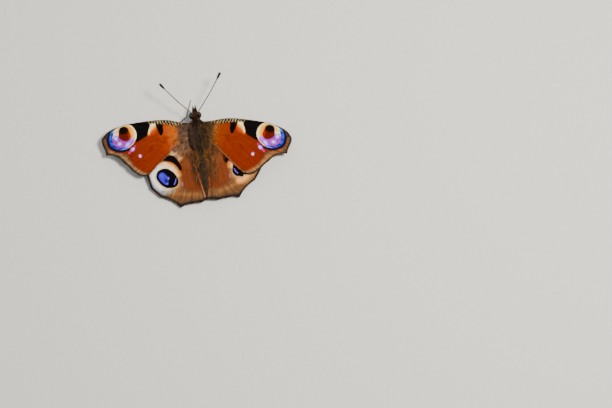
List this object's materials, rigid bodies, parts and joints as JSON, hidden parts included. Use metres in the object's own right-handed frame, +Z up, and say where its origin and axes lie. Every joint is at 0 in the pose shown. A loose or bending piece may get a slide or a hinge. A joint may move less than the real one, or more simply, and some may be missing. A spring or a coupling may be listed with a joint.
{
  "type": "peacock butterfly",
  "caption": "Life-size still peacock butterfly standing on its legs with scalloped, eye-marked wings spread flat, furry body, clubbed antennae and coiled tongue.",
  "frame": {"origin": "middle of the object's box on the floor it stands on", "axes": "+X to the animal's left, across the wings; -Y forwards, where the head points; +Z up"},
  "size_m": [0.0568, 0.038, 0.0102],
  "materials": {
    "fur": "dense dark brown fur with olive and golden hair tips",
    "eye": "dark glossy facets",
    "antenna": "brown shaft ringed with white, black club with a pale tip",
    "leg": "satin brown with short bristles",
    "tongue": "satin brown",
    "forewing": "powdery scales, rust red with black, cream, blue and violet marks",
    "hindwing": "powdery scales, rust brown with a blue and black eyespot in a pale ring"
  },
  "bodies": {
    "root": {"head": "fur", "thorax": "fur", "abdomen": "fur", "palp_left": "fur", "palp_right": "fur", "eye_left": "eye", "eye_right": "eye", "antenna_left": "antenna", "antenna_right": "antenna", "proboscis": "tongue", "foreleg_left": "leg", "foreleg_right": "leg", "midleg_left": "leg", "midleg_right": "leg", "hindleg_left": "leg", "hindleg_right": "leg", "forewing_left": "forewing", "forewing_right": "forewing", "hindwing_left": "hindwing", "hindwing_right": "hindwing"}
  },
  "joints": []
}
